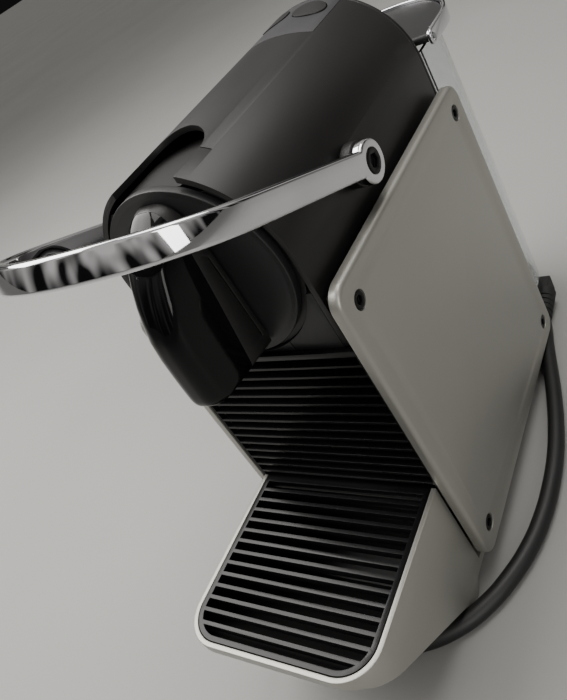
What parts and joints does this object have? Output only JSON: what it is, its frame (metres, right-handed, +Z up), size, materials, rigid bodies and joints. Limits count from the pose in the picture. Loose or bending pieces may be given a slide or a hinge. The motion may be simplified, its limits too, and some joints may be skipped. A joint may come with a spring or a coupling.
{
  "type": "pod coffee machine",
  "caption": "Compact lever-operated pod coffee machine with a half-round brew head, ribbed front, projecting drip tray and lift-off rear water tank.",
  "frame": {"origin": "middle of the machine's footprint on the table, without its mains lead", "axes": "+Z up from the table, -Y towards the front with the lever, outlet and drip tray, +X to the right when the machine is seen from its front"},
  "size_m": [0.2441, 0.3178, 0.2483],
  "materials": {
    "black_plastic": "fine-grained satin black plastic",
    "gloss_black": "high-gloss black plastic",
    "grey_plastic": "satin dark grey plastic",
    "silver_panel": "satin silver-grey paint on plastic",
    "chrome": "polished chrome",
    "dark_steel": "black-oxide steel",
    "steel": "bright steel",
    "cast_aluminium": "as cast",
    "clear_tank": "clear moulded plastic",
    "rubber": "matte black rubber",
    "white_plastic": "plain white plastic",
    "board": "green circuit board"
  },
  "bodies": {
    "root": {"base_frame": "black_plastic", "foot_front_left": "rubber", "foot_front_right": "rubber", "foot_rear_left": "rubber", "foot_rear_right": "rubber", "front_sill": "silver_panel", "chassis": "grey_plastic", "side_panel_left": "silver_panel", "panel_screw_left_1": "dark_steel", "panel_screw_left_2": "dark_steel", "panel_screw_left_3": "dark_steel", "panel_screw_left_4": "dark_steel", "side_panel_right": "silver_panel", "panel_screw_right_1": "dark_steel", "panel_screw_right_2": "dark_steel", "panel_screw_right_3": "dark_steel", "panel_screw_right_4": "dark_steel", "top_shell": "black_plastic", "rear_cover": "black_plastic", "front_fascia": "grey_plastic", "head_disc": "black_plastic", "coffee_outlet": "gloss_black", "extraction_plate": "steel", "brew_guide": "steel", "lever_bush_left": "black_plastic", "lever_bush_right": "black_plastic", "control_panel": "grey_plastic", "button_spring_left": "steel", "button_spring_right": "steel", "tank_socket": "rubber", "pump": "steel", "pump_cradle": "rubber", "thermoblock": "cast_aluminium", "flow_meter": "white_plastic", "control_board": "board", "pressure_hose": "white_plastic", "cable_gland": "rubber", "lead_run": "rubber", "lead_coil": "rubber", "lead_plug": "rubber"},
    "lever": {"lever_handle": "chrome", "lever_crank_left": "steel", "lever_crank_right": "steel", "lever_screw_left": "dark_steel", "lever_screw_right": "dark_steel"},
    "carriage": {"brew_carriage": "grey_plastic", "needle_plate": "steel"},
    "left_button": {"button_left": "black_plastic"},
    "right_button": {"button_right": "black_plastic"},
    "drip_unit": {"drip_tray_shell": "silver_panel", "drip_tray_liner": "black_plastic", "capsule_container": "black_plastic", "container_front": "black_plastic"},
    "grille": {"drip_grille": "black_plastic"},
    "tank": {"water_tank": "clear_tank", "lid_pin": "steel"},
    "valve": {"tank_valve": "white_plastic"},
    "lid": {"tank_lid": "grey_plastic"},
    "carry_handle": {"tank_handle": "chrome"}
  },
  "joints": [
    {"name": "lever_hinge", "type": "hinge", "parent": "root", "child": "lever", "pos_m": [0, -0.01, 0.1955], "axis": [-1, 0, 0], "range_deg": [0, 75]},
    {"name": "carriage_slide", "type": "slide", "parent": "root", "child": "carriage", "axis": [0, 1, 0], "range_m": [0, 0.0268]},
    {"name": "left_button_press", "type": "slide", "parent": "root", "child": "left_button", "axis": [0, 0, -1], "range_m": [0, 0.0015], "stiffness_N_per_m": 400, "springref_m": -0.001},
    {"name": "right_button_press", "type": "slide", "parent": "root", "child": "right_button", "axis": [0, 0, -1], "range_m": [0, 0.0015], "stiffness_N_per_m": 400, "springref_m": -0.001},
    {"name": "drip_unit_slide", "type": "slide", "parent": "root", "child": "drip_unit", "axis": [0, -1, 0], "range_m": [0, 0.11]},
    {"name": "grille_lift", "type": "slide", "parent": "drip_unit", "child": "grille", "axis": [0, 0, 1], "range_m": [0, 0.03]},
    {"name": "tank_lift", "type": "slide", "parent": "root", "child": "tank", "axis": [0, 0, 1], "range_m": [0, 0.06]},
    {"name": "valve_lift", "type": "slide", "parent": "tank", "child": "valve", "axis": [0, 0, 1], "range_m": [0, 0.0015]},
    {"name": "lid_hinge", "type": "hinge", "parent": "tank", "child": "lid", "pos_m": [0, 0.0976, 0.19855], "axis": [1, 0, 0], "range_deg": [0, 80]},
    {"name": "handle_hinge", "type": "hinge", "parent": "tank", "child": "carry_handle", "pos_m": [0, 0.0976, 0.19855], "axis": [1, 0, 0], "range_deg": [0, 80]}
  ],
  "couplings": [
    {"joint": "carriage_slide", "follows": "lever_hinge", "m_per_rad": 0.02046}
  ]
}
